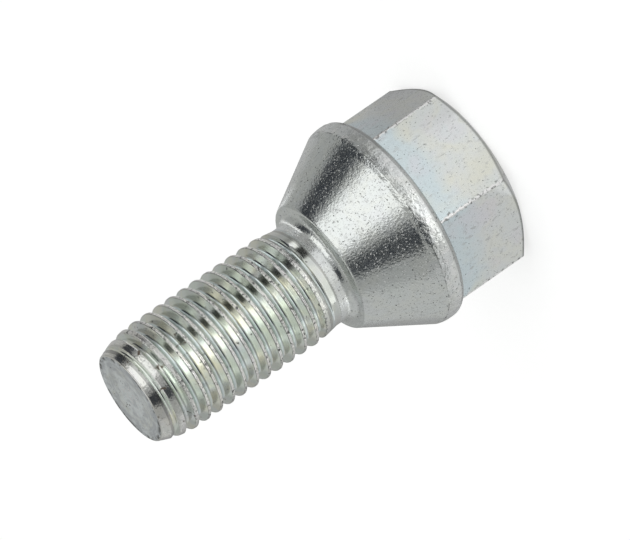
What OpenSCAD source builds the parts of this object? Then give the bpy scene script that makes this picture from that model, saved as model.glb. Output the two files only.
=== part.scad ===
/* [Hexagon] */
// Width across the flats, forged a little under its 19 mm socket
across_flats = 18.8; // [17:0.1:19.5]
// Height of the hexagon below the collar
hex_h = 9; // [6:0.5:14]
// Angle of the chamfer on the end of the hexagon, from its end face
hex_chamfer_angle = 30; // [15:1:35]
// Diameter of the flat end face, as a share of the width across the flats
end_face_share = 0.95; // [0.85:0.01:0.98]

/* [Collar] */
// Diameter of the collar, the widest place of the bolt
collar_d = 22.8; // [22:0.1:26]
// Height of the collar, up to where the line of the seat meets its side
collar_h = 2; // [1.8:0.1:4]
// Radius of the collar's edge towards the hexagon
collar_round = 0.95; // [0.3:0.05:1]
// Radius of the edge between the collar's side and the seat
seat_edge_round = 2.6; // [0.5:0.1:2.8]

/* [Conical seat] */
// Included angle of the seat
seat_angle = 60; // [50:1:80]
// Diameter of the seat at the shoulder
shoulder_d = 14.1; // [13.8:0.1:16]
// Radius of the shoulder's outer edge
shoulder_round = 0.35; // [0.1:0.05:0.5]

/* [Shank] */
// Length of the shank, from the shoulder to the tip
shank_len = 23.7; // [20:0.1:35]
// Diameter of the plain neck, which is that of the blank before rolling
neck_d = 11.25; // [10.8:0.05:11.4]
// Length of the plain neck, from the shoulder to the last trace of the thread
neck_len = 2; // [1.6:0.1:5]
// Radius of the fillet under the shoulder
neck_fillet = 1; // [0.4:0.05:1.05]

/* [Thread] */
// Diameter over the crests
thread_d = 12; // [11.8:0.05:12.2]
// Pitch of the single right-hand thread
pitch = 1.5; // [1.25:0.25:1.75]
// Width of the land left on the crest, wide because rolling doesn't fill it
crest_w = 0.29; // [0.2:0.01:0.4]
// Width of the groove at its root
root_w = 0.24; // [0.15:0.01:0.35]
// Turns over which the crests rise from the neck to their full height
crest_rise_turns = 1.5; // [0.5:0.25:2.5]
// Turns over which the groove fades into the neck
runout_turns = 1.25; // [0.5:0.25:3]

/* [Point] */
// Diameter of the end face
tip_d = 9.9; // [8.8:0.1:10.2]
// Radius of the edge of the end face
tip_round = 0.3; // [0.1:0.05:0.5]
// Length of the curved point, over which the crests reach their full height
point_len = 4.6; // [3:0.1:7]
// Diameter of the shallow hollow that rolling leaves in the end face
dish_d = 7.6; // [3:0.1:8]
// Depth of that hollow
dish_depth = 0.22; // [0.05:0.01:0.4]

/* [Hidden] */

// Facets round a full circle
$fn = 144;
// Straight stretches of the thread's groove in one turn
thread_steps = 36;
// Included angle of the thread
thread_angle = 60;
// How far a cutter reaches past a surface, and a joined body below one
reach = 0.1;

collar_r = collar_d / 2;
shoulder_r = shoulder_d / 2;
neck_r = neck_d / 2;
thread_r = thread_d / 2;
tip_r = tip_d / 2;
corner_r = across_flats / sqrt(3);
end_face_r = end_face_share * across_flats / 2;

// Heights from the end face of the hexagon, which is the lowest place
collar_top = hex_h + collar_h;
shoulder_z = collar_top + (collar_r - shoulder_r) / tan(seat_angle / 2);
total_len = shoulder_z + shank_len;
point_z = total_len - point_len;

// Rolling raises the crests above the blank, up to their full height here
thread_end = shoulder_z + neck_len;
crest_full_z = thread_end + crest_rise_turns * pitch;

// Arc of the point, tangent to the crests and through the rim of the end face
point_drop = thread_r - tip_r;
point_r = (pow(point_len, 2) + pow(point_drop, 2)) / (2 * point_drop);
point_centre = [thread_r - point_r, point_z];

// Small arc inside the point's arc that rounds the rim of the end face
rim_z = total_len - tip_round;
rim_x = point_centre.x
    + sqrt(pow(point_r - tip_round, 2) - pow(rim_z - point_z, 2));
rim_centre = [rim_x, rim_z];

// Sphere whose cap is the hollow in the end face
dish_r = (pow(dish_d / 2, 2) + pow(dish_depth, 2)) / (2 * dish_depth);

// Section of the groove: a flat root and straight flanks
groove_depth = (pitch - crest_w - root_w) / 2 / tan(thread_angle / 2);
root_r = thread_r - groove_depth;
mouth_r = thread_r + reach;
mouth_w = root_w + 2 * (mouth_r - root_r) * tan(thread_angle / 2);
groove_section = [
    [root_r, -root_w / 2], [root_r, root_w / 2],
    [mouth_r, mouth_w / 2], [mouth_r, -mouth_w / 2]
];
// The groove starts clear of the end face and stops above the neck
groove_top = total_len + pitch / 2;
groove_bottom = thread_end + mouth_w / 2;
groove_turns = (groove_top - groove_bottom) / pitch;
groove_steps = ceil(groove_turns * thread_steps);
// At its lower end the root has risen clear of the blank
runout_rise = neck_r - root_r + 2 * reach;

function unit(v) = v / norm(v);

// Area between a corner and the arc that rounds it, for an outline through
// three points. It is cut off an outer corner and added to an inner one.
module corner_web(before, corner, after, r) {
    u = unit(before - corner);
    v = unit(after - corner);
    half = acos(u * v) / 2;
    centre = corner + unit(u + v) * r / sin(half);
    difference() {
        polygon([
            corner + u * r / tan(half), corner - unit(u + v) * reach,
            corner + v * r / tan(half), centre
        ]);
        translate(centre) circle(r);
    }
}

// Collar and seat
module head_outline() {
    low_edge = [collar_r, hex_h];
    high_edge = [collar_r, collar_top];
    shoulder = [shoulder_r, shoulder_z];
    difference() {
        polygon([[0, hex_h], low_edge, high_edge, shoulder, [0, shoulder_z]]);
        corner_web([0, hex_h], low_edge, high_edge, collar_round);
        corner_web(low_edge, high_edge, shoulder, seat_edge_round);
        corner_web(high_edge, shoulder, [0, shoulder_z], shoulder_round);
    }
}

// Neck with its fillet, and the envelope of the crests up to the point
module shank_outline() {
    foot = [neck_r, shoulder_z];
    polygon([
        [0, shoulder_z - reach], [neck_r, shoulder_z - reach],
        [neck_r, thread_end], [thread_r, crest_full_z],
        [thread_r, point_z], [0, point_z]
    ]);
    corner_web([shoulder_r, shoulder_z], foot, [neck_r, thread_end], neck_fillet);
}

// Curved point, with its rim rounded and the hollow of the end face
module point_outline() {
    rim_side = rim_centre + unit(rim_centre - point_centre) * tip_round;
    difference() {
        intersection() {
            translate(point_centre) circle(point_r);
            translate([0, point_z - reach]) square([thread_r, point_len + reach]);
        }
        difference() {
            polygon([
                [rim_x, total_len], [tip_r, total_len + reach],
                [rim_side.x + reach, rim_side.y], rim_side, rim_centre
            ]);
            translate(rim_centre) circle(tip_round);
        }
        translate([0, total_len - dish_depth + dish_r]) circle(dish_r);
    }
}

// Half section of all that is round about the axis
module turned_outline() {
    intersection() {
        union() {
            head_outline();
            shank_outline();
            point_outline();
        }
        square([collar_r, total_len]);
    }
}

// Hexagon with its end chamfered by a cone, which leaves curved edges
module hexagon() {
    top = hex_h + collar_round;
    wide_r = corner_r + reach;
    intersection() {
        cylinder(r = corner_r, h = top, $fn = 6);
        rotate_extrude() polygon([
            [0, 0], [end_face_r, 0],
            [wide_r, (wide_r - end_face_r) * tan(hex_chamfer_angle)],
            [wide_r, top], [0, top]
        ]);
    }
}

// Rise of the groove's section at a step, from nothing to clear of the blank
function runout(step) =
    let (left = (groove_steps - step) / thread_steps)
    left >= runout_turns ? 0 : runout_rise * pow(1 - left / runout_turns, 2);

// One corner of the groove's section, carried along the right-hand helix
function groove_point(corner, step) =
    let (turn = step / thread_steps)
    let (r = corner.x + runout(step))
    [r * cos(-360 * turn), r * sin(-360 * turn), groove_top - pitch * turn + corner.y];

// Helical groove as one closed body to be cut from the shank
module thread_groove() {
    n = len(groove_section);
    points = [
        for (step = [0:groove_steps]) for (corner = groove_section)
            groove_point(corner, step)
    ];
    sides = [
        for (step = [0:groove_steps - 1]) for (k = [0:n - 1])
            let (a = step * n + k, b = step * n + (k + 1) % n)
            each [[a, b, b + n], [a, b + n, a + n]]
    ];
    first_end = [for (k = [n - 1:-1:0]) k];
    last_end = [for (k = [0:n - 1]) groove_steps * n + k];
    polyhedron(points, concat(sides, [first_end, last_end]));
}

// The bolt: a cold-formed blank with a rolled thread, in bright zinc
module wheel_bolt() {
    color("silver") difference() {
        union() {
            hexagon();
            rotate_extrude() turned_outline();
        }
        thread_groove();
    }
}

wheel_bolt();
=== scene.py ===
# %% [markdown]
# A wheel bolt, standing on its head. It is one piece of steel: a hexagon for the
# spanner, a collar, a cone that centres the wheel, and a shank with a rolled thread,
# all plated with bright zinc. The solid model gives its sizes and its place. Here it
# gets the shapes and the finish that are too fine for a solid model.
# %% Load the frame
import math

import bpy
import numpy as np
import mathutils.noise
from mathutils import Matrix, Vector


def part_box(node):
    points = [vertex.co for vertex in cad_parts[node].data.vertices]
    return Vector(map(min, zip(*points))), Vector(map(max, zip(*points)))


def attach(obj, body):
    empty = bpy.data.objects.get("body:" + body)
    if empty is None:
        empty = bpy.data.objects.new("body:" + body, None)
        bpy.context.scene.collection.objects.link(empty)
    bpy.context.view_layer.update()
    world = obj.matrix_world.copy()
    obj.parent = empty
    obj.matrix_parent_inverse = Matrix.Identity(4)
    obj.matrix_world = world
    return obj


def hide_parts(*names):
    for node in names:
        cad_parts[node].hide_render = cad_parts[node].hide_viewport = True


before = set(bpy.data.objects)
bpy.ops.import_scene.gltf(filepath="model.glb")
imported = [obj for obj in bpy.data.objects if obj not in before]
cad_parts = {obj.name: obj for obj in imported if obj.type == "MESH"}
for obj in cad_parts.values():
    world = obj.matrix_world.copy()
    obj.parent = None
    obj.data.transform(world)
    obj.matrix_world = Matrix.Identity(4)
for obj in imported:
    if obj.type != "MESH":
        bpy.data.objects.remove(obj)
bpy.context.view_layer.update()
LOW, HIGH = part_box("wheel_bolt")
print("solid model from", tuple(LOW), "to", tuple(HIGH))

# %% [markdown]
# The sizes. The length and the collar are read from the solid model, so that the two
# can't drift apart. The rest are the bolt's own dimensions, in millimetres times MM
# because Blender works in metres. The thread is an M12 with a pitch of 1.5 mm.
# %% Name the sizes
MM = 0.001
TOTAL_LEN = HIGH.z
COLLAR_R = HIGH.y
ACROSS_FLATS = 18.8 * MM
CORNER_R = ACROSS_FLATS / math.sqrt(3)
HEX_H = 9 * MM
COLLAR_TOP = 11 * MM
SEAT_HALF_ANGLE = math.radians(30)
SHOULDER_R = 7.05 * MM
SHOULDER_Z = COLLAR_TOP + (COLLAR_R - SHOULDER_R) / math.tan(SEAT_HALF_ANGLE)
NECK_R = 5.625 * MM
NECK_END = SHOULDER_Z + 2 * MM
THREAD_R = 6 * MM
PITCH = 1.5 * MM
TIP_R = 4.95 * MM
POINT_LEN = 4.6 * MM
print(f"length {TOTAL_LEN / MM:.2f} mm, collar {2 * COLLAR_R / MM:.2f} mm across,"
      f" shoulder at {SHOULDER_Z / MM:.2f} mm")

# %% [markdown]
# The camera. The picture was taken with a long lens from the tip's side, and turned
# so that the tip points down to the left. A camera is set by three directions: back
# to it from the bolt, and the picture's right and up. The bolt's axis, seen from
# there, is the one direction that shows in the picture, so the turn is given by it.
# %% Place the camera
PICTURE_W, PICTURE_H = 630, 540
TIP_PIXEL = (130.1, 398.6)
PIXELS_PER_MM = 10.256
CAMERA_DISTANCE = 700 * MM
CAMERA_AZIMUTH = math.radians(-103.4)
CAMERA_ELEVATION = math.radians(18.77)
AXIS_IN_PICTURE = math.radians(214.6)
SENSOR_WIDTH = 36


def direction(azimuth, elevation):
    """Unit vector towards an azimuth and an elevation."""
    flat = math.cos(elevation)
    return Vector((flat * math.cos(azimuth), flat * math.sin(azimuth), math.sin(elevation)))


def picture_axes(azimuth, elevation, axis_angle):
    """Right, up and back of a camera that sees +Z at an angle from its right."""
    back = direction(azimuth, elevation)
    axis = Vector((0, 0, 1))
    axis = (axis - axis.dot(back) * back).normalized()
    across = axis.cross(back)
    right = math.cos(axis_angle) * axis + math.sin(axis_angle) * across
    up = math.sin(axis_angle) * axis - math.cos(axis_angle) * across
    return right, up, back


right, up, back = picture_axes(CAMERA_AZIMUTH, CAMERA_ELEVATION, AXIS_IN_PICTURE)
tip_right = (TIP_PIXEL[0] - PICTURE_W / 2) / PIXELS_PER_MM * MM
tip_up = (PICTURE_H / 2 - TIP_PIXEL[1]) / PIXELS_PER_MM * MM
tip_centre = Vector((0, 0, TOTAL_LEN))
eye = tip_centre - tip_right * right - tip_up * up + CAMERA_DISTANCE * back
bpy.ops.object.camera_add()
camera = bpy.context.object
camera.name = "camera"
camera.matrix_world = Matrix.Translation(eye) @ Matrix((right, up, back)).transposed().to_4x4()
camera.data.sensor_width = SENSOR_WIDTH
camera.data.lens = SENSOR_WIDTH * PIXELS_PER_MM * CAMERA_DISTANCE / MM / PICTURE_W
camera.data.clip_start = 10 * MM
bpy.context.scene.camera = camera
print(f"camera at {tuple(round(c, 3) for c in eye)}, lens {camera.data.lens:.0f} mm")

# %% [markdown]
# Helpers for modelling. Everything is deselected before a new piece is started,
# because an operator acts on all that is selected.
# %% Helpers for modelling
def start_fresh():
    """Leaves object mode with nothing selected."""
    if bpy.context.object and bpy.context.object.mode != "OBJECT":
        bpy.ops.object.mode_set(mode="OBJECT")
    bpy.ops.object.select_all(action="DESELECT")


def choose(piece):
    """Selects one piece and makes it active."""
    start_fresh()
    piece.select_set(True)
    bpy.context.view_layer.objects.active = piece


def edit(piece, select="SELECT"):
    """Enters edit mode on a piece with all or nothing selected."""
    choose(piece)
    bpy.ops.object.mode_set(mode="EDIT")
    bpy.ops.mesh.select_all(action=select)


def draw_profile(name, points):
    """Draws an open outline in the XZ plane, one extruded vertex after the other."""
    start_fresh()
    bpy.ops.mesh.primitive_plane_add(size=MM)
    piece = bpy.context.object
    piece.name = piece.data.name = name
    edit(piece)
    bpy.ops.mesh.merge(type="CENTER")
    x, z = points[0]
    bpy.ops.transform.translate(value=(x, 0, z))
    for (x0, z0), (x1, z1) in zip(points, points[1:]):
        bpy.ops.mesh.extrude_region_move(TRANSFORM_OT_translate={"value": (x1 - x0, 0, z1 - z0)})
    bpy.ops.object.mode_set(mode="OBJECT")
    return piece


def finish_modifier(piece, kind, **settings):
    """Adds a modifier with its settings and applies it."""
    choose(piece)
    modifier = piece.modifiers.new(kind.title(), kind)
    for name, value in settings.items():
        setattr(modifier, name, value)
    bpy.ops.object.modifier_apply(modifier=modifier.name)


def close_seams(piece, within=1e-7):
    """Merges the doubled vertices of a seam and turns the faces outwards."""
    edit(piece)
    bpy.ops.mesh.remove_doubles(threshold=within)
    bpy.ops.mesh.normals_make_consistent(inside=False)
    bpy.ops.object.mode_set(mode="OBJECT")


def points_of(piece):
    """Places of a piece's vertices, as an array."""
    flat = np.empty(len(piece.data.vertices) * 3)
    piece.data.vertices.foreach_get("co", flat)
    return flat.reshape(-1, 3)


def move_points(piece, points):
    """Puts a piece's vertices at new places."""
    piece.data.vertices.foreach_set("co", points.ravel())
    piece.data.update()


# %% [markdown]
# The thread is rolled, not cut: two dies press the grooves into the blank and squeeze
# the metal up between them. The dies burnish the flanks, but nothing touches the crests.
# They stay rough, with a shallow seam between two lips. One pitch of that outline is
# drawn, and the Screw modifier carries it up the helix, so all edges follow the thread.
# %% Draw one pitch of the thread
ROOT_R = 5.16 * MM
CREST_HALF = 0.145 * MM
ROOT_HALF = 0.12 * MM
SEAM_DEPTH = 0.03 * MM
LIP_DROP = 0.012 * MM
CREST_EDGE = 0.04 * MM
ROOT_SAG = 0.08 * MM


def flank_place(radius):
    """Distance from the crest's middle at which the flank has a radius."""
    top, foot = CREST_HALF, PITCH / 2 - ROOT_HALF
    return top + (foot - top) * (THREAD_R - radius) / (THREAD_R - ROOT_R)


# Radius, and distance from the crest's middle: the seam, the lip and the crest's edge
crest_side = [
    (THREAD_R - SEAM_DEPTH, 0),
    (THREAD_R - 0.4 * SEAM_DEPTH, 0.2 * CREST_HALF),
    (THREAD_R, 0.45 * CREST_HALF),
    (THREAD_R - LIP_DROP, 0.75 * CREST_HALF),
    (THREAD_R - CREST_EDGE, 1.05 * CREST_HALF),
]
flank_radii = [
    THREAD_R - 1.9 * CREST_EDGE, THREAD_R - 2.9 * CREST_EDGE, THREAD_R - 0.4 * MM,
    ROOT_R + 2.6 * ROOT_SAG, ROOT_R + 1.6 * ROOT_SAG,
]
# The straight flank, and then the rounded root
flank = [(r, flank_place(r)) for r in flank_radii]
root_side = [
    (ROOT_R + 0.75 * ROOT_SAG, flank_place(ROOT_R + 0.6 * ROOT_SAG)),
    (ROOT_R + 0.2 * ROOT_SAG, PITCH / 2 - 0.5 * ROOT_HALF),
    (ROOT_R, PITCH / 2),
]
half_pitch = crest_side + flank + root_side
other_half = [(r, PITCH - z) for r, z in reversed(half_pitch[:-1])]
thread_outline = half_pitch + other_half
print(f"one pitch has {len(thread_outline)} points, root radius {ROOT_R / MM:.3f} mm")

# %% [markdown]
# A thread has one groove, which turns and rises at once. Rings set side by side would
# only look like one from afar. The Screw modifier turns the outline about the axis and
# lifts it by a pitch in each turn. It starts at the height from which a crest passes
# the end face at the same angle as in the solid model, and its turns are then merged.
# %% Carry it up the helix
STEPS_IN_TURN = 120
TURNS_TO_SPARE = 2
CREST_TURN_ZERO = math.fmod(TOTAL_LEN, PITCH)
first_turn = math.floor((NECK_END - CREST_TURN_ZERO) / PITCH) - TURNS_TO_SPARE
start_z = CREST_TURN_ZERO + first_turn * PITCH
turns = math.ceil((TOTAL_LEN - start_z) / PITCH) + 1
shank = draw_profile("shank", [(r, start_z + z) for r, z in thread_outline])
finish_modifier(
    shank, "SCREW", axis="Z", angle=2 * math.pi, screw_offset=PITCH, iterations=turns,
    steps=STEPS_IN_TURN, render_steps=STEPS_IN_TURN, use_smooth_shade=True,
)
close_seams(shank, within=0.001 * MM)
print(f"{turns} turns, {len(shank.data.polygons)} faces")

# %% [markdown]
# The blank under the rolls isn't a plain rod. It ends in a curved point, where the
# crests never fill, and in a thinner neck, where the grooves run out. Both are limits
# on the radius, so the vertices are pulled in to them in code, and the helix keeps
# its tidy rows of faces.
# %% Shape the point and the run-out
POINT_Z = TOTAL_LEN - POINT_LEN
POINT_DROP = THREAD_R - TIP_R
POINT_ARC = (POINT_LEN ** 2 + POINT_DROP ** 2) / (2 * POINT_DROP)
CREST_RISE = 1.5 * PITCH
RUNOUT_TURNS = 1.25
CLEAR_OF_BLANK = 0.2 * MM
RUNOUT_RISE = NECK_R - ROOT_R + CLEAR_OF_BLANK
HALF_GROOVE = 0.61 * MM
GROOVE_END = NECK_END + HALF_GROOVE
BLEND = 0.02 * MM
UNTOUCHED_BLEND = 0.08 * MM


def soft_min(a, b, width):
    """Smaller of two arrays, with the corner between them rounded."""
    h = np.clip(0.5 + 0.5 * (b - a) / width, 0, 1)
    return b + (a - b) * h - width * h * (1 - h)


def point_radius(z):
    """Radius of the curved point at a height."""
    above = np.clip(z - POINT_Z, 0, POINT_ARC)
    return THREAD_R - POINT_ARC + np.sqrt(POINT_ARC ** 2 - above ** 2)


def blank_radius(z):
    """Largest radius that rolling reaches at a height."""
    rise = np.clip((z - NECK_END) / CREST_RISE, 0, 1)
    return np.minimum(NECK_R + (THREAD_R - NECK_R) * rise, point_radius(z))


def shape_shank(points):
    """Pulls the thread's vertices in to the blank and lets the groove run out."""
    x, y, z = points.T
    radius = np.hypot(x, y)
    turn = np.arctan2(y, x) / (2 * math.pi)
    phase = ((z - TOTAL_LEN) / PITCH - turn) % 1
    groove_z = z - (phase - 0.5) * PITCH
    left = np.clip((groove_z - GROOVE_END) / PITCH / RUNOUT_TURNS, 0, 1)
    rolled = radius + RUNOUT_RISE * (1 - left) ** 2
    shaped = soft_min(rolled, blank_radius(z), BLEND)
    untouched = np.clip((rolled - blank_radius(z)) / UNTOUCHED_BLEND + 1, 0, 1)
    untouched *= np.clip((z - NECK_END) / CREST_RISE, 0, 1)
    return np.stack([x * shaped / radius, y * shaped / radius, z], 1), untouched


places, untouched = shape_shank(points_of(shank))
move_points(shank, places)
attribute = shank.data.attributes.new("untouched", "FLOAT", "POINT")
attribute.data.foreach_set("value", untouched)
crest = np.hypot(places[:, 0], places[:, 1]).max()
print(f"largest radius of the shank {crest / MM:.3f} mm,"
      f" {untouched.mean():.0%} untouched by the dies")

# %% [markdown]
# The helix ends in steps, so both ends are cut square, the lower one in the plain
# neck and the upper one on the point's rim. Bisect cuts and clears in one go, and
# leaves the new edge selected.
# %% Cut the shank to length
RIM_ROUND = 0.22 * MM
RIM_Z = TOTAL_LEN - RIM_ROUND
NECK_CUT = NECK_END - 0.3 * MM


def cut_square(piece, z, keep_above):
    """Cuts a piece at a height, which leaves its new edge selected."""
    edit(piece)
    bpy.ops.mesh.bisect(
        plane_co=(0, 0, z), plane_no=(0, 0, 1), use_fill=False,
        clear_inner=keep_above, clear_outer=not keep_above, threshold=1e-6 * MM,
    )


def ring_radius(z):
    """Radius of the blank's arc at the rim, just under the end face."""
    return float(point_radius(np.array(z)))


cut_square(shank, NECK_CUT, keep_above=True)
bpy.ops.object.mode_set(mode="OBJECT")
cut_square(shank, RIM_Z, keep_above=False)
print("the cut rim has", sum(v.select for v in shank.data.vertices), "selected vertices")

# %% [markdown]
# Rolling squeezes the outside of the blank ahead of its middle, which leaves a rounded
# rim and a shallow hollow in the end face. A flat lid would miss both. The cut edge is
# extruded ring by ring instead: over the rim, across the flat, and down into the
# hollow, which is the cap of a large sphere. The last ring is merged into one point.
# %% Close the end face with rings
DISH_R = 3.8 * MM
DISH_DEPTH = 0.22 * MM
DISH_SPHERE = (DISH_R ** 2 + DISH_DEPTH ** 2) / (2 * DISH_DEPTH)
DISH_LIP_R = 1.04 * DISH_R
FLAT_SINK = 0.002 * MM
RIM_ANGLES = range(15, 91, 15)
FLAT_SHARES = (0.5, 0.88, 1)
DISH_SHARES = (0.96, 0.9, 0.8, 0.68, 0.55, 0.4, 0.25, 0.1)
rim_start = ring_radius(RIM_Z)


def end_face_rings():
    """Radius and height of each ring, from the rim to near the middle."""
    rim_centre = rim_start - RIM_ROUND
    for angle in RIM_ANGLES:
        a = math.radians(angle)
        yield rim_centre + RIM_ROUND * math.cos(a), RIM_Z + RIM_ROUND * math.sin(a)
    for share in FLAT_SHARES:
        yield rim_centre + share * (DISH_LIP_R - rim_centre), TOTAL_LEN - FLAT_SINK * share
    for share in DISH_SHARES:
        r = share * DISH_R
        sink = DISH_DEPTH - DISH_SPHERE + math.sqrt(DISH_SPHERE ** 2 - r ** 2)
        yield r, TOTAL_LEN - sink


def extrude_ring(old, new):
    """Extrudes the selected edge loop to a new radius and height."""
    bpy.ops.mesh.extrude_region_move()
    scale = new[0] / old[0]
    bpy.ops.transform.resize(value=(scale, scale, 1), center_override=(0, 0, 0))
    bpy.ops.transform.translate(value=(0, 0, new[1] - old[1]))


last_ring = (rim_start, RIM_Z)
for ring in end_face_rings():
    extrude_ring(last_ring, ring)
    last_ring = ring
bpy.ops.mesh.merge(type="CENTER")
bpy.ops.object.mode_set(mode="OBJECT")
print("top of the shank at", round(points_of(shank)[:, 2].max() / MM, 3), "mm")

# %% [markdown]
# The collar, the cone and the neck are forged, but round about the axis, as if turned
# on a lathe. A cylinder and a cone would meet in sharp edges. So their half outline is
# drawn, with an arc at each edge, and spun about the axis.
# %% Turn the collar, the seat and the neck
COLLAR_ROUND = 0.95 * MM
BAND_ROUND = 3.2 * MM
BAND_TURN = math.radians(17)
SHOULDER_ROUND = 0.35 * MM
NECK_FILLET = 1 * MM
INSIDE_HEXAGON_R = 8.2 * MM
STEPS_ROUND = 240


def rounded(before, corner, after, radius, steps):
    """Points of the arc that rounds a corner between two straight lines."""
    a = (Vector(before) - Vector(corner)).normalized()
    b = (Vector(after) - Vector(corner)).normalized()
    half = a.angle(b) / 2
    centre = Vector(corner) + (a + b).normalized() * radius / math.sin(half)
    first = Vector(corner) + a * radius / math.tan(half) - centre
    last = Vector(corner) + b * radius / math.tan(half) - centre
    sweep = first.angle_signed(last)
    for k in range(steps + 1):
        turned = first.copy()
        turned.rotate(Matrix.Rotation(-sweep * k / steps, 2))
        yield tuple(centre + turned)


def stretch(a, b, steps):
    """Points between two places, without the places themselves."""
    for k in range(1, steps):
        yield tuple(Vector(a).lerp(Vector(b), k / steps))


low_edge = (COLLAR_R, HEX_H)
high_edge = (COLLAR_R, COLLAR_TOP)
shoulder = (SHOULDER_R, SHOULDER_Z)
foot = (NECK_R, SHOULDER_Z)
neck_top = (NECK_R, NECK_CUT)
rear_arc = list(rounded((0, HEX_H), low_edge, high_edge, COLLAR_ROUND, 8))
band_in = BAND_ROUND * (1 - math.cos(BAND_TURN))
BAND_END = (COLLAR_R - band_in, COLLAR_TOP + band_in / math.tan(SEAT_HALF_ANGLE))
band_start_z = BAND_END[1] - BAND_ROUND * math.sin(BAND_TURN)


def band_point(share):
    """Point of the collar's rounded band, from its side to the seat."""
    angle = share * BAND_TURN
    return COLLAR_R - BAND_ROUND * (1 - math.cos(angle)), band_start_z + BAND_ROUND * math.sin(angle)


front_arc = [band_point(k / 10) for k in range(10)] + [band_point(0.96), BAND_END]
front_arc.append(tuple(Vector(BAND_END).lerp(Vector(shoulder), 0.01)))
shoulder_arc = list(rounded(high_edge, shoulder, foot, SHOULDER_ROUND, 5))
fillet_arc = list(rounded(shoulder, foot, neck_top, NECK_FILLET, 8))
rear_start = (INSIDE_HEXAGON_R, HEX_H)
turned_outline = (
    [(0, HEX_H), rear_start] + list(stretch(rear_start, rear_arc[0], 4)) + rear_arc
    + list(stretch(rear_arc[-1], front_arc[0], 4)) + front_arc
    + list(stretch(front_arc[-1], shoulder_arc[0], 26)) + shoulder_arc
    + fillet_arc + [neck_top, (0, NECK_CUT)]
)
head = draw_profile("wheel_bolt_dressed", turned_outline)
edit(head)
bpy.ops.mesh.spin(steps=STEPS_ROUND, angle=2 * math.pi, center=(0, 0, 0), axis=(0, 0, 1))
bpy.ops.object.mode_set(mode="OBJECT")
close_seams(head, within=0.0005 * MM)
print(f"turned part has {len(head.data.polygons)} faces")

# %% [markdown]
# Bolts are plated loose in a drum and knock against each other, which leaves shallow
# dents in the collar's band. Bump in the material would leave its outline unhurt, so
# they are pressed into the mesh, where a noise is high.
# %% Dent the collar's band
DENT_DEPTH = 0.09 * MM
DENTS_PER_MM = 0.75
LONG_ALONG_AXIS = 0.6
DENT_STARTS, DENT_SLOPE = 0.18, 2.5
FROM_BAND_END = 0.05 * MM
UNDER_BAND = 0.02 * MM
dented = points_of(head)
for k, (x, y, z) in enumerate(dented):
    radius = math.hypot(x, y)
    if radius < BAND_END[0] - UNDER_BAND or z > BAND_END[1] - FROM_BAND_END:
        continue
    bumpy = mathutils.noise.noise(Vector((x, y, LONG_ALONG_AXIS * z)) * DENTS_PER_MM / MM)
    depth = DENT_DEPTH * min(max(DENT_SLOPE * (bumpy - DENT_STARTS), 0), 1)
    dented[k, :2] *= 1 - depth / radius
move_points(head, dented)
print("deepest dent in the collar:", round(DENT_DEPTH / MM, 2), "mm")

# %% [markdown]
# The hexagon is upset from the same blank. It starts as a six-sided cylinder. A bevel
# on its end would leave straight edges, so a cone chamfers it instead, which leaves the
# curved edges of every forged hexagon. All its edges are slightly rounded.
# %% Forge the hexagon
INTO_COLLAR = 0.5 * MM
HEX_TOP = HEX_H + INTO_COLLAR
END_FACE_R = 0.95 * ACROSS_FLATS / 2
CHAMFER = math.radians(30)
CORNER_ROUND = 0.13 * MM
CHAMFER_ROUND = 0.12 * MM

start_fresh()
bpy.ops.mesh.primitive_cylinder_add(
    vertices=6, radius=CORNER_R, depth=HEX_TOP, location=(0, 0, HEX_TOP / 2),
    rotation=(0, 0, math.radians(30)),
)
hexagon = bpy.context.object
bpy.ops.object.transform_apply()
edit(hexagon, select="DESELECT")
bpy.ops.object.mode_set(mode="OBJECT")
for e in hexagon.data.edges:
    a, b = (hexagon.data.vertices[i].co for i in e.vertices)
    e.select = abs(a.z - b.z) > HEX_H
bpy.ops.object.mode_set(mode="EDIT")
bpy.ops.mesh.select_mode(type="EDGE")
bpy.ops.mesh.bevel(offset=CORNER_ROUND, segments=3)
bpy.ops.object.mode_set(mode="OBJECT")

start_fresh()
bpy.ops.mesh.primitive_cone_add(
    vertices=STEPS_ROUND, radius1=END_FACE_R, radius2=END_FACE_R + HEX_TOP / math.tan(CHAMFER),
    depth=HEX_TOP, location=(0, 0, HEX_TOP / 2),
)
chamfer_cone = bpy.context.object
finish_modifier(hexagon, "BOOLEAN", operation="INTERSECT", object=chamfer_cone, solver="EXACT")
bpy.data.objects.remove(chamfer_cone)
finish_modifier(
    hexagon, "BEVEL", width=CHAMFER_ROUND, segments=2, limit_method="ANGLE",
    angle_limit=math.radians(25),
)
print(f"hexagon has {len(hexagon.data.polygons)} faces")

# %% [markdown]
# The hexagon and the turned part are one piece of steel, so they are united. A third
# Boolean with the finely stepped helix would be slow and could leave slivers. The neck
# gets its shank in another way: the face that closes it goes, the shank's open edge is
# lifted a little, and a band of faces bridges the two.
# %% Unite the pieces
IN_PLANE = 1e-4 * MM
FACING_UP = 0.9
BRIDGE = 0.1 * MM
SHARP_FROM = math.radians(32)

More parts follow.
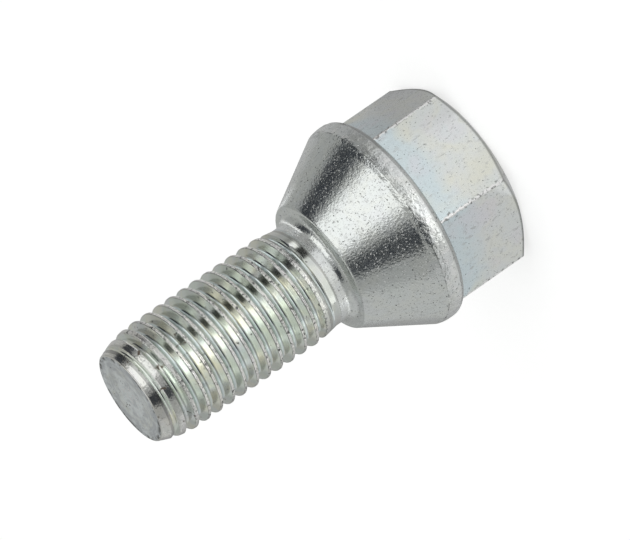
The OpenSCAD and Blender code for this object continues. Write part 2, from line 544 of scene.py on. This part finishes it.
finish_modifier(head, "BOOLEAN", operation="UNION", object=hexagon, solver="EXACT")
bpy.data.objects.remove(hexagon)
edit(head, select="DESELECT")
bpy.ops.object.mode_set(mode="OBJECT")
for f in head.data.polygons:
    f.select = abs(f.center.z - NECK_CUT) < IN_PLANE and f.normal.z > FACING_UP
bpy.ops.object.mode_set(mode="EDIT")
bpy.ops.mesh.select_mode(type="FACE")
bpy.ops.mesh.delete(type="FACE")
bpy.ops.object.mode_set(mode="OBJECT")
shank_points = points_of(shank)
at_cut = np.abs(shank_points[:, 2] - NECK_CUT) < IN_PLANE
shank_points[at_cut, 2] += BRIDGE
move_points(shank, shank_points)
choose(shank)
head.select_set(True)
bpy.context.view_layer.objects.active = head
bpy.ops.object.join()
edit(head, select="DESELECT")
bpy.ops.mesh.select_mode(type="EDGE")
bpy.ops.mesh.select_non_manifold()
bpy.ops.mesh.bridge_edge_loops()
bpy.ops.mesh.select_all(action="SELECT")
bpy.ops.mesh.normals_make_consistent(inside=False)
bpy.ops.object.mode_set(mode="OBJECT")
bpy.ops.object.shade_smooth_by_angle(angle=SHARP_FROM)
bolt = head
print(f"the bolt has {len(bolt.data.polygons)} faces")

# %% [markdown]
# Bright zinc. The plating mirrors its surroundings softly, through a clear film that
# gives it faint tints of green, cream, violet and blue. It could be one flat metal with
# painted pictures over it, but each side would need its own. Here the marks are
# patterns on the object's own coordinates, in millimetres, so they cover every side.
# %% Name the tints
PLAIN_ZINC = (0.79, 0.82, 0.81, 1)
GREEN_FILM = (0.76, 0.83, 0.735, 1)
CREAM_FILM = (0.865, 0.855, 0.70, 1)
VIOLET_FILM = (0.795, 0.775, 0.82, 1)
BLUE_FILM = (0.70, 0.815, 0.855, 1)
# The white metal also paints a highlight on the hexagon's corners, and the grey mottle and the dark
# specks also paint shade on edges, behind the crests and near the neck.
WHITE_METAL_AND_HIGHLIGHT = (0.93, 0.93, 0.92, 1)
GREY_MOTTLE_AND_SHADE = (0.52, 0.53, 0.52, 1)
DARK_SPECK_AND_SHADE = (0.16, 0.165, 0.16, 1)
BROWN_RESIDUE = (0.13, 0.095, 0.065, 1)
PINK_LIP = (0.80, 0.775, 0.765, 1)
TIP_LIGHT = (0.95, 1.0, 1.0, 1)
TIP_DARK = (0.61, 0.64, 0.66, 1)
FILM_DRIFT = [
    (0.28, GREEN_FILM), (0.42, PLAIN_ZINC), (0.52, CREAM_FILM), (0.6, PLAIN_ZINC),
    (0.68, VIOLET_FILM), (0.8, BLUE_FILM),
]
print("the film drifts through", len(FILM_DRIFT), "tints")

# %% [markdown]
# A material is a tree of small nodes. Wiring dozens of them by hand hides what they do,
# so a few helpers do it: two add and wire a node, and the others are what every finish
# is made of, which is a sum, a soft step, a noise, a mix of colours and a colour ramp.
# %% Helpers for shader nodes
def add_node(tree, kind, **inputs):
    """Adds a shader node and wires or sets its inputs by name."""
    node = tree.nodes.new("ShaderNode" + kind)
    for name, value in inputs.items():
        plug(tree, node.inputs[name.replace("_", " ")], value)
    return node


def plug(tree, socket, value):
    """Wires a socket to another one, or sets it to a value."""
    if isinstance(value, bpy.types.NodeSocket):
        tree.links.new(value, socket)
    else:
        socket.default_value = value


def calc(tree, operation, *values):
    """Math node on one to three values."""
    node = tree.nodes.new("ShaderNodeMath")
    node.operation = operation
    for socket, value in zip(node.inputs, values):
        plug(tree, socket, value)
    return node.outputs[0]


def step_up(tree, value, low, high):
    """Smooth step from 0 at low to 1 at high."""
    node = tree.nodes.new("ShaderNodeMapRange")
    node.interpolation_type = "SMOOTHSTEP"
    plug(tree, node.inputs["Value"], value)
    node.inputs["From Min"].default_value = low
    node.inputs["From Max"].default_value = high
    return node.outputs["Result"]


def noise(tree, place, scale, detail=2.0, stretch=None):
    """Noise at a number of features in a millimetre, stretched by a scale per axis."""
    if stretch:
        node = tree.nodes.new("ShaderNodeVectorMath")
        node.operation = "MULTIPLY"
        plug(tree, node.inputs[0], place)
        node.inputs[1].default_value = stretch
        place = node.outputs[0]
    return add_node(tree, "TexNoise", Vector=place, Scale=scale, Detail=detail).outputs["Fac"]


def mix(tree, share, a, b):
    """Mix of two colours."""
    node = tree.nodes.new("ShaderNodeMix")
    node.data_type = "RGBA"
    colours = [i for i in node.inputs if i.type == "RGBA"]
    plug(tree, node.inputs[0], share)
    plug(tree, colours[0], a)
    plug(tree, colours[1], b)
    return [o for o in node.outputs if o.type == "RGBA"][0]


def tints(tree, value, stops):
    """Colour ramp through tints, each at its place from 0 to 1."""
    node = add_node(tree, "ValToRGB", Fac=value)
    ramp = node.color_ramp
    for place, colour in stops[2:]:
        ramp.elements.new(place)
    for element, (place, colour) in zip(ramp.elements, sorted(stops)):
        element.position = place
        element.color = colour
    return node.outputs["Color"]


# %% [markdown]
# A finish grows in layers, as on the real bolt: zinc with its film, the grain of the
# plating, and then each kind of mark. A class keeps what is laid so far and wires it to
# the shader at the end, so that a mark is one line: where it is, its colour, and how
# much rougher and higher it makes the metal.
# %% Lay a finish in layers
class Finish:
    """A plated finish in the making, with the place in millimetres to lay marks by."""

    def __init__(self, name, roughness, film_share):
        self.material = bpy.data.materials.new(name)
        self.material.use_nodes = True
        self.tree = self.material.node_tree
        self.shader = self.tree.nodes["Principled BSDF"]
        self.shader.inputs["Metallic"].default_value = 1
        scaled = add_node(self.tree, "VectorMath")
        scaled.operation = "SCALE"
        plug(self.tree, scaled.inputs[0], self.tree.nodes.new("ShaderNodeTexCoord").outputs["Object"])
        scaled.inputs["Scale"].default_value = 1 / MM
        self.place = scaled.outputs[0]
        self.x, self.y, self.z = add_node(self.tree, "SeparateXYZ", Vector=self.place).outputs
        self.angle = self.calc("ARCTAN2", self.y, self.x)
        drift = tints(self.tree, self.noise(0.3, 3), FILM_DRIFT)
        self.colour = mix(self.tree, film_share, PLAIN_ZINC, drift)
        self.roughness = roughness
        self.height = 0.0

    def calc(self, operation, *values):
        """Math node in this finish."""
        return calc(self.tree, operation, *values)

    def times(self, a, b):
        """Product, which is also where two patterns meet."""
        return self.calc("MULTIPLY", a, b)

    def radius(self):
        """Distance from the axis."""
        squares = self.calc("ADD", self.times(self.x, self.x), self.times(self.y, self.y))
        return self.calc("SQRT", squares)

    def step(self, value, low, high):
        """Smooth step from 0 at low to 1 at high."""
        return step_up(self.tree, value, low, high)

    def between(self, value, fade_in, fade_out):
        """1 between two soft limits, and 0 beyond them."""
        return self.times(self.step(value, *fade_in), self.step(value, *fade_out))

    def noise(self, per_mm, detail=2.0, stretch=None):
        """Noise in this finish."""
        return noise(self.tree, self.place, per_mm, detail, stretch)

    def specks(self, per_mm, threshold, width=0.035):
        """Small irregular marks, where a noise rises above a threshold."""
        return self.step(self.noise(per_mm, 3), threshold, threshold + width)

    def relief(self, pattern, height):
        """Adds a pattern from 0 to 1 to the relief, with its height in millimetres."""
        self.height = self.calc("MULTIPLY_ADD", pattern, height, self.height)

    def mark(self, where, colour, amount=1.0, rougher=0.0, height=0.0):
        """Lays a mark: where it is, its colour and strength, and its gloss and height."""
        share = self.times(where, amount) if amount != 1 else where
        self.colour = mix(self.tree, share, self.colour, colour)
        if rougher:
            self.roughness = self.calc("MULTIPLY_ADD", share, rougher, self.roughness)
        if height:
            self.relief(share, height)

    def grain(self, fine, height):
        """Orange peel of the plating, in two sizes, and a slight unevenness of its gloss."""
        self.relief(self.noise(fine, 3), height)
        self.relief(self.noise(1.1, 2), 2.5 * height)
        self.roughness = self.calc("MULTIPLY_ADD", self.noise(1.7, 3), 0.16, self.roughness - 0.08)

    def done(self):
        """Wires the layers to the shader."""
        plug(self.tree, self.shader.inputs["Base Color"], self.colour)
        plug(self.tree, self.shader.inputs["Roughness"], self.roughness)
        bump = add_node(self.tree, "Bump", Height=self.height)
        bump.inputs["Distance"].default_value = MM
        plug(self.tree, self.shader.inputs["Normal"], bump.outputs["Normal"])
        print(self.material.name, "has", len(self.tree.nodes), "nodes")
        return self.material


# %% [markdown]
# The cone and the collar are forged and then plated: an even grain, many tiny dark
# specks where the scale was pitted, fine sparkles on the cone, and bright nicks on the
# collar's edge, where bolts knock against each other in the drum. A broken line shows
# where the seat begins, and the collar's rear edge gets painted shade, as it turns away
# from the light. Heights from the hexagon's end, in millimetres, say where each mark
# fades in and out.
# %% Finish of the cone and the collar
BAND_FADES = (9.4, 9.9), (11.9, 11.3)
NICK_FADES = (9.2, 9.9), (11.4, 11.2)
CONE_FADES = (11.0, 11.6), (18.2, 17.6)
REAR_EDGE_SHADE_FADE = (9.74, 9.6)


def seat_finish():
    """Zinc of the cone, the collar and the neck."""
    f = Finish("zinc_on_the_seat", roughness=0.2, film_share=0.15)
    f.grain(3.4, 0.006)
    f.relief(f.noise(4.8, 1.5), 0.021)
    f.mark(f.step(f.noise(2.4, 4), 0.52, 0.68), GREY_MOTTLE_AND_SHADE, amount=0.3, rougher=0.08)
    f.mark(f.specks(4.6, 0.645), DARK_SPECK_AND_SHADE, rougher=0.15, height=-0.004)
    f.mark(f.specks(1.7, 0.72, 0.02), DARK_SPECK_AND_SHADE, rougher=0.2, height=-0.01)
    sparkles = f.times(f.between(f.z, *CONE_FADES), f.specks(5.6, 0.632, 0.04))
    f.mark(sparkles, WHITE_METAL_AND_HIGHLIGHT, rougher=0.32, height=0.014)
    f.relief(f.times(f.between(f.z, *BAND_FADES), f.noise(1.3, 2)), 0.14)
    nicks = f.times(f.between(f.z, *NICK_FADES), f.specks(1.5, 0.55, 0.04))
    f.mark(nicks, WHITE_METAL_AND_HIGHLIGHT, amount=0.5, rougher=0.05, height=-0.03)
    off_line = f.calc("ABSOLUTE", f.calc("SUBTRACT", f.z, BAND_END[1] / MM))
    broken_line = f.times(f.step(off_line, 0.09, 0.02), f.step(f.noise(1.3, 3), 0.42, 0.56))
    f.mark(broken_line, DARK_SPECK_AND_SHADE, amount=0.6, rougher=0.1)
    # Painted shade on the collar's rear edge, where it turns away from the light.
    f.mark(f.step(f.z, *REAR_EDGE_SHADE_FADE), DARK_SPECK_AND_SHADE, amount=0.5)
    return f.done()


seat_zinc = seat_finish()

# %% [markdown]
# On the hexagon the dies have dragged the steel along the axis, so the marks are long
# that way. Blue gathers towards the collar, in patches. The corners show white, partly
# wear of the plating, which is thickest there, and partly a painted highlight along the
# edges, with dark flakes beside them. The chamfer and the rim of the end get a painted
# dark reflection, which draws the chamfer's curved edge.
# %% Finish of the hexagon
BLUE_FADE = (7.8, 10.5)
WHITE_CORNER = (0.049, 0.042)
FLAKED_CORNER = (0.062, 0.05)
CHAMFER_DARK_REFLECTION_FADE = (0.3, 0.1)


def hexagon_finish():
    """Zinc of the hexagon's faces and of its end."""
    f = Finish("zinc_on_the_hexagon", roughness=0.25, film_share=0.3)
    f.grain(4.0, 0.007)
    f.relief(f.noise(1.6, 3, stretch=(1, 1, 0.3)), 0.018)
    patches = f.noise(0.22, 2)
    f.mark(f.step(f.calc("MULTIPLY_ADD", patches, 6.0, f.z), *BLUE_FADE), BLUE_FILM, amount=0.8)
    f.mark(f.step(patches, 0.5, 0.34), CREAM_FILM, amount=0.4)
    f.mark(f.step(patches, 0.56, 0.7), VIOLET_FILM, amount=0.5)
    f.mark(f.step(f.noise(2.0, 4), 0.54, 0.7), GREY_MOTTLE_AND_SHADE, amount=0.3, rougher=0.06)
    f.mark(f.specks(5.2, 0.645), DARK_SPECK_AND_SHADE, amount=0.75, rougher=0.15, height=-0.005)
    scratches = f.step(f.noise(2.6, 3, stretch=(1.6, 0.5, 0.4)), 0.63, 0.69)
    f.mark(scratches, GREY_MOTTLE_AND_SHADE, amount=0.6, rougher=0.1, height=-0.01)
    sixth = f.calc("FRACT", f.calc("ADD", f.calc("DIVIDE", f.angle, math.pi / 3), 0.5))
    off_corner = f.calc("ABSOLUTE", f.calc("SUBTRACT", sixth, 0.5))
    ragged = f.calc("MULTIPLY_ADD", f.noise(2.4, 4), 0.06, off_corner)
    # The white corners are partly wear and partly a painted highlight along the edges.
    f.mark(f.step(ragged, *WHITE_CORNER), WHITE_METAL_AND_HIGHLIGHT, rougher=0.1, height=0.02)
    flakes = f.times(f.step(ragged, *FLAKED_CORNER), f.specks(3.0, 0.56, 0.05))
    f.mark(flakes, DARK_SPECK_AND_SHADE, amount=0.7, rougher=0.1)
    # Painted dark reflection on the chamfer and the rim of the end.
    chamfer_z = f.times(f.calc("SUBTRACT", f.radius(), END_FACE_R / MM), math.tan(CHAMFER))
    over_chamfer = f.calc("SUBTRACT", f.z, chamfer_z)
    f.mark(f.step(over_chamfer, *CHAMFER_DARK_REFLECTION_FADE), DARK_SPECK_AND_SHADE, amount=0.65, rougher=0.1)
    return f.done()


hexagon_zinc = hexagon_finish()

# %% [markdown]
# Every turn of the thread repeats the same marks. Rings of marks would cross the
# crests, so the pattern is read along the helix: a number from the height and the angle
# says how far a point lies from the middle of its crest. Another one, kept by the
# shank's vertices, says how little the dies touched them.
# %% Read the place on the helix
def off_crest(f):
    """Distance from the middle of the crest along the axis, in pitches from -0.5 to 0.5."""
    turns_up = f.calc("DIVIDE", f.calc("SUBTRACT", f.z, TOTAL_LEN / MM), PITCH / MM)
    phase = f.calc("FRACT", f.calc("SUBTRACT", turns_up, f.calc("DIVIDE", f.angle, 2 * math.pi)))
    return f.calc("SUBTRACT", f.calc("FRACT", f.calc("ADD", phase, 0.5)), 0.5)


def untouched_share(f):
    """How little the dies touched a place, as the shank's vertices keep it."""
    node = f.tree.nodes.new("ShaderNodeAttribute")
    node.attribute_name = "untouched"
    return node.outputs["Fac"]


# %% [markdown]
# The flanks are smooth and take the film's tints, and the root is a smooth bluish
# valley. The crests, which the dies left alone, are rough and pale, with dark specks
# caught in the seam and dots along the edge. Near the tip a brown residue has dried in
# spots. Each group of marks has its own function, and one lays them in their order.
# %% Finish of the thread
ROOT_FADE = (0.38, 0.44)
POINT_FADE = (37.8, 39.8)
OFF_NECK_FADE = (21.3, 22.8)
AT_NECK_SHADE_FADE = (22.6, 21.0)
BEHIND_CREST_SHADE_FADES = (-0.4, -0.34), (-0.12, -0.18)
RESIDUE_FADE = (34.0, 38.0)


def tint_flanks(f, from_crest, off_point):
    """Green and cream film on the flanks, and blue in the root."""
    drift = f.noise(0.35, 2)
    f.mark(f.step(drift, 0.42, 0.6), GREEN_FILM, amount=0.6)
    f.mark(f.step(drift, 0.5, 0.36), CREAM_FILM, amount=0.5)
    in_root = f.step(f.calc("ABSOLUTE", from_crest), *ROOT_FADE)
    f.mark(f.times(in_root, off_point), BLUE_FILM, amount=0.55)


def roughen_crests(f, on_point, off_point):
    """Pale rough crests, with specks in the seam and dots along the edge."""
    ragged = f.calc("MULTIPLY_ADD", f.noise(2.2, 3), 0.8, f.calc("SUBTRACT", untouched_share(f), 0.4))
    off_neck = f.step(f.z, *OFF_NECK_FADE)
    on_crest = f.times(f.step(ragged, 0.22, 0.45), off_neck)
    coarse = f.times(on_crest, f.calc("MULTIPLY_ADD", on_point, -0.8, 1.0))
    f.mark(on_crest, PINK_LIP, amount=0.55, rougher=0.04)
    f.relief(f.times(coarse, f.noise(3.6, 3)), 0.11)
    f.mark(f.times(coarse, f.specks(3.4, 0.56, 0.08)), DARK_SPECK_AND_SHADE, rougher=0.1)
    rim = f.step(f.calc("ABSOLUTE", f.calc("SUBTRACT", ragged, 0.4)), 0.16, 0.05)
    dots = f.times(f.times(f.step(f.noise(2.6, 2), 0.48, 0.56), off_point), off_neck)
    f.mark(f.times(rim, dots), DARK_SPECK_AND_SHADE, amount=0.85, rougher=0.1, height=-0.02)


def thread_finish():
    """Zinc of the thread, with marks that follow the helix."""
    f = Finish("zinc_on_the_thread", roughness=0.15, film_share=0.5)
    f.grain(6.0, 0.002)
    from_crest = off_crest(f)
    on_point = f.step(f.z, *POINT_FADE)
    off_point = f.calc("SUBTRACT", 1.0, on_point)
    tint_flanks(f, from_crest, off_point)
    roughen_crests(f, on_point, off_point)
    # Painted shade on the flank behind each crest, on the head's side.
    f.mark(f.between(from_crest, *BEHIND_CREST_SHADE_FADES), DARK_SPECK_AND_SHADE, amount=0.5, rougher=0.1)
    # Towards the neck the thread is rougher and greyer; the grey is painted shade that dims the
    # run-out's highlight.
    f.mark(f.step(f.z, *AT_NECK_SHADE_FADE), GREY_MOTTLE_AND_SHADE, amount=0.4, rougher=0.1)
    f.mark(f.specks(2.0, 0.7, 0.02), DARK_SPECK_AND_SHADE, rougher=0.1, height=-0.01)
    residue = f.times(f.step(f.noise(1.2, 1), 0.69, 0.76), f.step(f.z, *RESIDUE_FADE))
    f.mark(residue, BROWN_RESIDUE, amount=0.9, rougher=0.3)
    return f.done()


thread_zinc = thread_finish()

# %% [markdown]
# The end face was cropped and then pressed by the rolling, which leaves it satin. Its
# colour is lighter towards the middle and darker outside, with soft blotches and a faint
# swirl. The swirl is a noise read in polar coordinates, so that its streaks run round
# the middle.
# %% Finish of the end face
LIGHT_MIDDLE = (3.2, 1.6)
DARK_OUTSIDE = (3.4, 4.2)
MIDDLE_FADE = (2.4, 1.2)
RIM_FADE = (4.3, 4.7)


def tip_finish():
    """Zinc of the end face at the tip."""
    f = Finish("zinc_on_the_tip", roughness=0.3, film_share=0.3)
    f.grain(4.5, 0.008)
    radius = f.radius()
    wobble = f.calc("MULTIPLY_ADD", f.noise(0.5, 3), 4.0, f.calc("SUBTRACT", radius, 2.0))
    f.mark(f.step(wobble, *LIGHT_MIDDLE), TIP_LIGHT)
    f.mark(f.step(wobble, *DARK_OUTSIDE), TIP_DARK)
    blotch = f.noise(1.1, 3)
    f.mark(f.step(blotch, 0.5, 0.64), TIP_LIGHT, amount=0.7)
    f.mark(f.step(blotch, 0.5, 0.38), TIP_DARK, amount=0.7)
    f.relief(blotch, 0.05)
    polar = add_node(
        f.tree, "CombineXYZ", X=f.times(radius, 2.6),
        Y=f.calc("MULTIPLY_ADD", f.angle, 1.8, f.times(radius, 0.6)),
    )
    swirl = noise(f.tree, polar.outputs[0], 1.3, 4)
    f.relief(swirl, 0.05)
    f.mark(f.step(swirl, 0.52, 0.62), TIP_LIGHT, amount=0.4)
    f.mark(f.step(swirl, 0.46, 0.36), TIP_DARK, amount=0.4)
    grit = f.times(f.step(radius, *MIDDLE_FADE), f.specks(2.8, 0.56, 0.04))
    f.mark(grit, WHITE_METAL_AND_HIGHLIGHT, height=0.05)
    f.mark(f.specks(2.2, 0.68), DARK_SPECK_AND_SHADE, rougher=0.15, height=-0.01)
    chips = f.times(f.step(radius, *RIM_FADE), f.specks(1.6, 0.5, 0.08))
    f.mark(chips, DARK_SPECK_AND_SHADE, rougher=0.1)
    return f.done()


tip_zinc = tip_finish()

# %% [markdown]
# Each face gets the finish of its place, told by its height and its distance from the
# axis. One mesh with four materials keeps the bolt in one piece, as the real one is.
# It then stands for the solid model's bolt, in the same place.
# %% Plate the bolt
SEAT, HEXAGON, THREAD, TIP = range(4)
HEXAGON_TOP = HEX_H + 0.01 * MM
COLLAR_START = HEX_H - 0.1 * MM
THREAD_MARKS_START = NECK_END - 0.25 * MM
DISH_BOTTOM = TOTAL_LEN - DISH_DEPTH - 0.01 * MM
END_FACE_EDGE = rim_start - RIM_ROUND

bolt.data.materials.clear()
for zinc in (seat_zinc, hexagon_zinc, thread_zinc, tip_zinc):
    bolt.data.materials.append(zinc)


def finish_of(face):
    """Which finish a face has, from its place."""
    z = face.center.z
    radius = math.hypot(face.center.x, face.center.y)
    if z < HEXAGON_TOP and (radius < CORNER_R or z < COLLAR_START):
        return HEXAGON
    if z < THREAD_MARKS_START:
        return SEAT
    return TIP if z > DISH_BOTTOM and radius < END_FACE_EDGE else THREAD


for face in bolt.data.polygons:
    face.material_index = finish_of(face)
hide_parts("wheel_bolt")
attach(bolt, "root")
finishes = [face.material_index for face in bolt.data.polygons]
print("faces by finish:", [finishes.count(k) for k in range(4)])

# %% [markdown]
# The floor is white paper. It could be lit until it looks white, but that much light
# would bleach the bolt. So it glows a little by itself, for the camera and for what the
# metal mirrors, and the lamps do the rest, which leaves the bolt's soft shadow on it.
# It lies a hair below the end face, because two faces in one plane show as stripes.
# %% Lay the floor
FLOOR_SIZE = 20
FLOOR_GAP = 0.01 * MM
FLOOR_GLOW = 0.62
PAPER = (0.8, 0.8, 0.8, 1)


def make_matt(surface, colour):
    """Turns a Principled shader into a matt surface without gloss."""
    surface.inputs["Base Color"].default_value = colour
    surface.inputs["Roughness"].default_value = 1
    surface.inputs["Specular IOR Level"].default_value = 0


start_fresh()
bpy.ops.mesh.primitive_plane_add(size=FLOOR_SIZE, location=(0, 0, -FLOOR_GAP))
floor = bpy.context.object
floor.name = "floor"
paper = bpy.data.materials.new("white_paper")
paper.use_nodes = True
tree = paper.node_tree
diffuse = tree.nodes["Principled BSDF"]
make_matt(diffuse, PAPER)
path = tree.nodes.new("ShaderNodeLightPath")
seen = calc(tree, "MAXIMUM", path.outputs["Is Camera Ray"], path.outputs["Is Glossy Ray"])
seen = calc(tree, "MAXIMUM", seen, path.outputs["Is Transmission Ray"])
glow = add_node(tree, "Emission", Strength=calc(tree, "MULTIPLY", seen, FLOOR_GLOW))
both = tree.nodes.new("ShaderNodeAddShader")
tree.links.new(diffuse.outputs[0], both.inputs[0])
tree.links.new(glow.outputs[0], both.inputs[1])
tree.links.new(both.outputs[0], tree.nodes["Material Output"].inputs["Surface"])
floor.data.materials.append(paper)
print("floor", FLOOR_SIZE, "m across,", round(FLOOR_GAP / MM, 3), "mm below the bolt")

# %% [markdown]
# Bright metal has hardly a colour of its own: it shows what stands around it. So the
# room is grey, and soft boxes stand where the bolt should show broad bright bands. They
# are placed by their direction from the bolt, counted from the camera's side.
# %% Light the room
AIM = Vector((0, 0, 22 * MM))
ROOM_GREY = (0.365, 0.37, 0.365, 1)

bpy.context.scene.view_settings.view_transform = "Standard"
world = bpy.data.worlds.new("room")
bpy.context.scene.world = world
world.use_nodes = True
world.node_tree.nodes["Background"].inputs["Color"].default_value = ROOM_GREY
world.node_tree.nodes["Background"].inputs["Strength"].default_value = 1


def facing_bolt(azimuth_deg, elevation_deg, distance):
    """Place and turn of something that faces the bolt, from the camera's side."""
    towards = direction(CAMERA_AZIMUTH + math.radians(azimuth_deg), math.radians(elevation_deg))
    return AIM + distance * towards, towards.to_track_quat("Z", "Y").to_euler()


def softbox(name, azimuth_deg, elevation_deg, distance, width, height, brightness):
    """Area light of a given brightness, as the metal sees it."""
    start_fresh()
    place, turn = facing_bolt(azimuth_deg, elevation_deg, distance)
    bpy.ops.object.light_add(type="AREA", location=place, rotation=turn)
    lamp = bpy.context.object
    lamp.name = name
    lamp.data.shape = "RECTANGLE"
    lamp.data.size = width
    lamp.data.size_y = height
    lamp.data.energy = brightness * math.pi * width * height
    print(f"{name} gives {lamp.data.energy:.3f} W")


softbox("softbox", 34, 32, 500 * MM, width=490 * MM, height=420 * MM, brightness=0.74)
softbox("overhead", 152, 76, 500 * MM, width=360 * MM, height=420 * MM, brightness=0.42)
softbox("tip_box", 168, 27, 300 * MM, width=160 * MM, height=420 * MM, brightness=0.07)
softbox("fill", -118, 22, 500 * MM, width=620 * MM, height=420 * MM, brightness=0.15)

# %% [markdown]
# A mirror needs something dark to show its shape by. A photographer stands black cards
# beside the softbox, and the cone shows them as its two dark bands. They are stage, so
# only the metal meets them: the camera, the shadows and the matt floor don't.
# %% Stand two dark cards beside the softbox
def only_for_metal(board, surface):
    """Gives a board its material, and hides it from all but mirrored rays."""
    board.data.materials.append(surface)
    board.visible_camera = False
    board.visible_diffuse = False
    board.visible_shadow = False


def card(name, azimuth_deg, elevation_deg, distance, width, height, shade):
    """Dark bluish card that faces the bolt."""
    start_fresh()
    place, turn = facing_bolt(azimuth_deg, elevation_deg, distance)
    bpy.ops.mesh.primitive_plane_add(size=1, location=place, rotation=turn)
    board = bpy.context.object
    board.name = name
    board.scale = (width, height, 1)
    surface = bpy.data.materials.new(name)
    surface.use_nodes = True
    make_matt(surface.node_tree.nodes["Principled BSDF"], (0.85 * shade, 0.95 * shade, 1.15 * shade, 1))
    only_for_metal(board, surface)
    print(name, "stands", round(distance / MM), "mm away")


card("left_card", 92.5, 25, 300 * MM, width=162 * MM, height=260 * MM, shade=0.09)
card("right_card", -33, 25, 300 * MM, width=150 * MM, height=260 * MM, shade=0.09)

# %% [markdown]
# The flanks of the thread face each other, so they show the floor, mirrored twice, and
# the upright walls show it mirrored once. One white floor would make them all alike.
# So mats lie on it in sectors round the bolt, each with its own glow. A mat glows
# upwards only. One with a grid glows steeply upwards only, as a lamp does under a
# honeycomb grid, so that the flanks catch its light and the upright walls don't.
# %% Lay glowing mats round the bolt
FLOOR_RADIUS = 4000 * MM
ABOVE_FLOOR = 0.02 * MM
GRID_EDGE = 0.06


def glow_upwards(name, brightness, grid):
    """Glow on the upper side only, and with a grid only near the upright."""
    surface = bpy.data.materials.new(name)
    surface.use_nodes = True
    tree = surface.node_tree
    unseen = add_node(tree, "NewGeometry").outputs["Backfacing"]
    if grid:
        slant = add_node(tree, "LayerWeight").outputs["Facing"]
        unseen = calc(tree, "MAXIMUM", unseen, step_up(tree, slant, grid, grid + GRID_EDGE))
    one_sided = add_node(tree, "MixShader", Fac=unseen)
    plug(tree, one_sided.inputs[1], add_node(tree, "Emission", Strength=brightness).outputs[0])
    plug(tree, one_sided.inputs[2], add_node(tree, "BsdfTransparent").outputs[0])
    plug(tree, tree.nodes["Material Output"].inputs["Surface"], one_sided.outputs[0])
    return surface


def mat(name, first_deg, last_deg, near, far, height, brightness, grid=None):
    """Sector of a ring round the bolt, from one angle off the camera's side to another."""
    start_fresh()
    bpy.ops.mesh.primitive_grid_add(x_subdivisions=8, y_subdivisions=1, size=1)
    board = bpy.context.object
    board.name = name
    corners = points_of(board)
    angle = CAMERA_AZIMUTH + np.radians(last_deg - (corners[:, 0] + 0.5) * (last_deg - first_deg))
    radius = near + (corners[:, 1] + 0.5) * (far - near)
    level = np.full(len(corners), height)
    move_points(board, np.stack([radius * np.cos(angle), radius * np.sin(angle), level], 1))
    only_for_metal(board, glow_upwards(name, brightness, grid))


# First and last angle in degrees, and glow
floor_sectors = [
    (-180, -160, 0.32), (-160, -150, 0.35), (-150, -142, 0.4), (-142, -134, 0.44),
    (-134, -126, 0.48), (-126, -115, 0.52), (-115, -100, 0.58), (-100, -36, 0.63),
    (-36, 7, 0.8), (7, 30, 0.84), (30, 50, 0.72), (50, 60, 0.55),
    (60, 70, 0.42), (70, 95, 0.3), (95, 125, 0.42), (125, 180, 0.48),
]
for k, (first, last, brightness) in enumerate(floor_sectors):
    mat(f"floor_mat_{k}", first, last, 0, FLOOR_RADIUS, ABOVE_FLOOR, brightness)
mat("collar_mat", -40, 9, 28 * MM, 48 * MM, 2 * ABOVE_FLOOR, brightness=1.4)
mat("corner_mat", 66, 125, 9 * MM, 17 * MM, 2 * ABOVE_FLOOR, brightness=0.4)
print(len(floor_sectors), "sectors on the floor")

# %% [markdown]
# The thread's highlights need more light than the floor may give, because the collar
# and the hexagon show the floor too. So two rings of mats hang above it, close to the
# bolt: the high one for the half of the thread near the tip, and the low one for the
# half near the neck. Each sector has its reach, its glow and its grid, and the low ring
# has only those on the camera's side. A last mat lights the neck.
# %% Hang rings of mats for the thread
# Inner radius, outer radius and height
LOW_RING = (17 * MM, 29 * MM, 10 * MM)
LOW_RING_SPAN = 140
HIGH_RING = (21.5 * MM, 39 * MM, 16 * MM)


def ring_mat(name, ring, first, last, reach, brightness, grid):
    """Mat of a ring, which is given by its inner and outer radius and its height."""
    near, far, height = ring
    mat(name, first, last, near, reach * far, height, brightness, grid)


# First and last angle in degrees, reach, glow and grid
ring_sectors = [
    (-120, -92, 1.3, 0.95, None), (-92, -75, 1.3, 1.5, None), (-75, -50, 1.2, 1.3, 0.52),
    (-50, -27, 1.05, 1.5, 0.46), (-27, 13, 1, 3.2, 0.41), (13, 30, 1, 1.35, 0.41),
    (30, 58, 1.1, 0, None), (58, 75, 1.2, 1.25, 0.52), (75, 95, 1.3, 1.45, None),
    (95, 120, 1.3, 1.25, None), (120, 180, 1.3, 1.05, None),
]
for k, sector in enumerate(ring_sectors):
    ring_mat(f"high_mat_{k}", HIGH_RING, *sector)
    if abs(sector[0] + sector[1]) < LOW_RING_SPAN:
        ring_mat(f"low_mat_{k}", LOW_RING, *sector)
mat("neck_mat", -60, 30, 16 * MM, 22.5 * MM, 10.2 * MM, brightness=0.85, grid=0.41)
print(len(ring_sectors), "sectors in the high ring")
